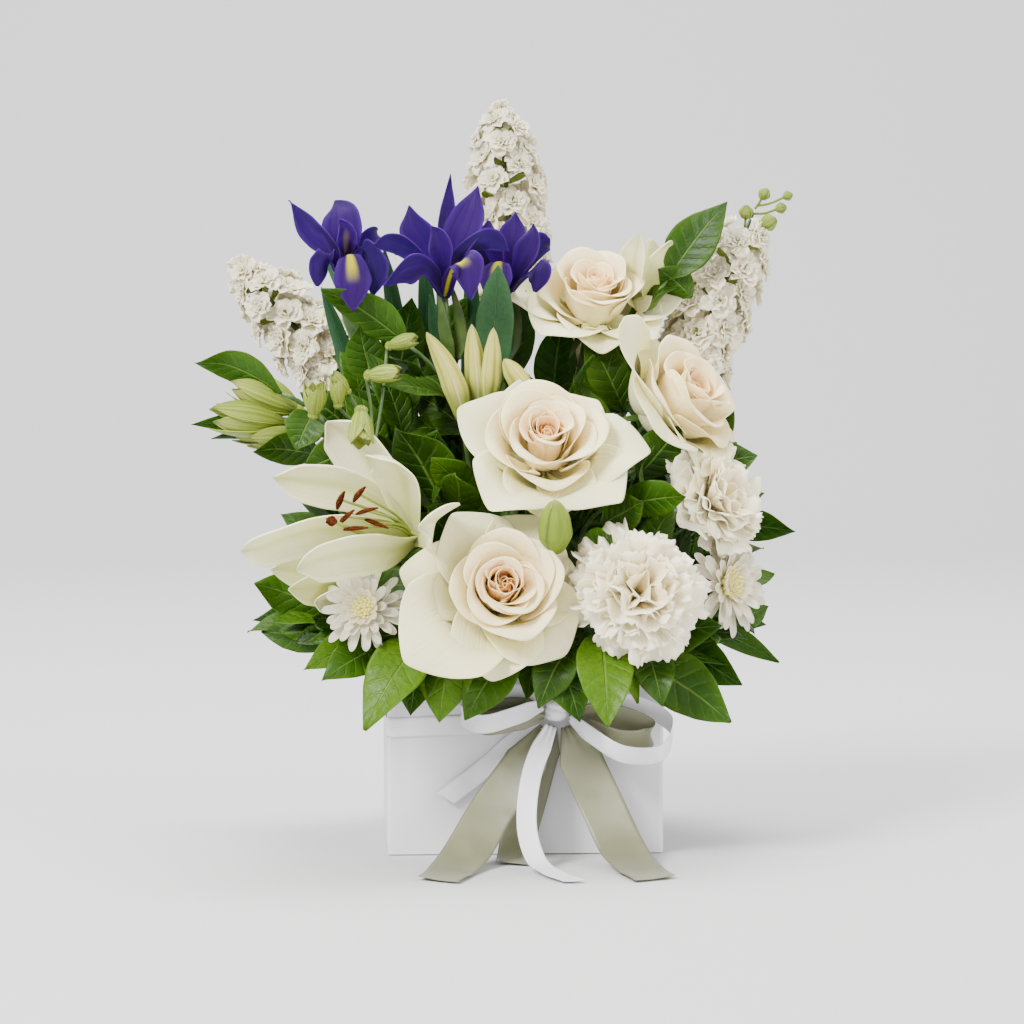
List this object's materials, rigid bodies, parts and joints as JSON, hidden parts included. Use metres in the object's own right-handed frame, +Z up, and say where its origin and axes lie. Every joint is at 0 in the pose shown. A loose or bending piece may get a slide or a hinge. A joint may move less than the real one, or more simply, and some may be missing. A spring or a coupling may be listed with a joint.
{
  "type": "flower box",
  "caption": "Square white card box with a ribbon bow, a lift-out water liner and floral foam, and a dense one-sided arrangement of cut flowers and leaves.",
  "frame": {"origin": "middle of the box's underside, on the surface that it stands on", "axes": "+Z up, -Y towards the front where the bow is tied, +X to the right as seen from the front"},
  "size_m": [0.3321, 0.2721, 0.4334],
  "materials": {
    "white_card": "matte",
    "liner_film": "gloss",
    "foam_green": "matte",
    "white_satin": "satin",
    "sage_satin": "satin",
    "cream_petal": "matte",
    "white_petal": "matte",
    "lily_petal": "satin",
    "bud_green": "satin",
    "violet_petal": "satin",
    "leaf_green": "satin",
    "blade_green": "satin"
  },
  "bodies": {
    "box": {"box_tray": "white_card", "ribbon_band": "white_satin", "ribbon_knot": "white_satin", "white_loop_left": "white_satin", "white_loop_right": "white_satin", "white_tail_centre": "white_satin", "white_tail_left": "white_satin", "sage_loop_left": "sage_satin", "sage_loop_right": "sage_satin", "sage_tail_left": "sage_satin", "sage_tail_right": "sage_satin", "sage_tail_inner": "sage_satin"},
    "arrangement": {"water_liner": "liner_film", "foam_brick": "foam_green", "rose_front": "cream_petal", "rose_centre": "cream_petal", "rose_back": "cream_petal", "rose_right": "cream_petal", "carnation_front": "white_petal", "carnation_right": "white_petal", "chrysanthemum_left": "white_petal", "chrysanthemum_right": "white_petal", "stock_back": "white_petal", "stock_left": "white_petal", "stock_right": "white_petal", "stock_middle": "white_petal", "lily_left": "lily_petal", "lily_low_left": "lily_petal", "lily_back_right": "lily_petal", "lily_bud_tall": "lily_petal", "lily_bud_upright": "lily_petal", "lily_bud_small": "lily_petal", "green_bud_front": "bud_green", "alstroemeria_left": "bud_green", "alstroemeria_centre": "bud_green", "iris_left": "violet_petal", "iris_centre": "violet_petal", "iris_right": "violet_petal", "leaf_front_left_low": "leaf_green", "leaf_front_left": "leaf_green", "leaf_left": "leaf_green", "leaf_front_inner": "leaf_green", "leaf_front_dark": "leaf_green", "leaf_front_bright": "leaf_green", "leaf_front_right": "leaf_green", "leaf_right_low": "leaf_green", "leaf_right": "leaf_green", "leaf_centre_right": "leaf_green", "leaf_centre_left": "leaf_green", "leaf_middle_small": "leaf_green", "leaf_left_arched": "leaf_green", "leaf_upper_left": "leaf_green", "leaf_back_right": "leaf_green", "leaf_back_low_left": "leaf_green", "leaf_back_low_right": "leaf_green", "leaf_back_middle": "leaf_green", "leaf_side_left": "leaf_green", "leaf_side_right": "leaf_green", "iris_leaf_centre": "blade_green", "iris_leaf_left": "blade_green"}
  },
  "joints": [
    {"name": "lift_out", "type": "slide", "parent": "box", "child": "arrangement", "axis": [0, 0, 1], "range_m": [0, 0.1]}
  ]
}
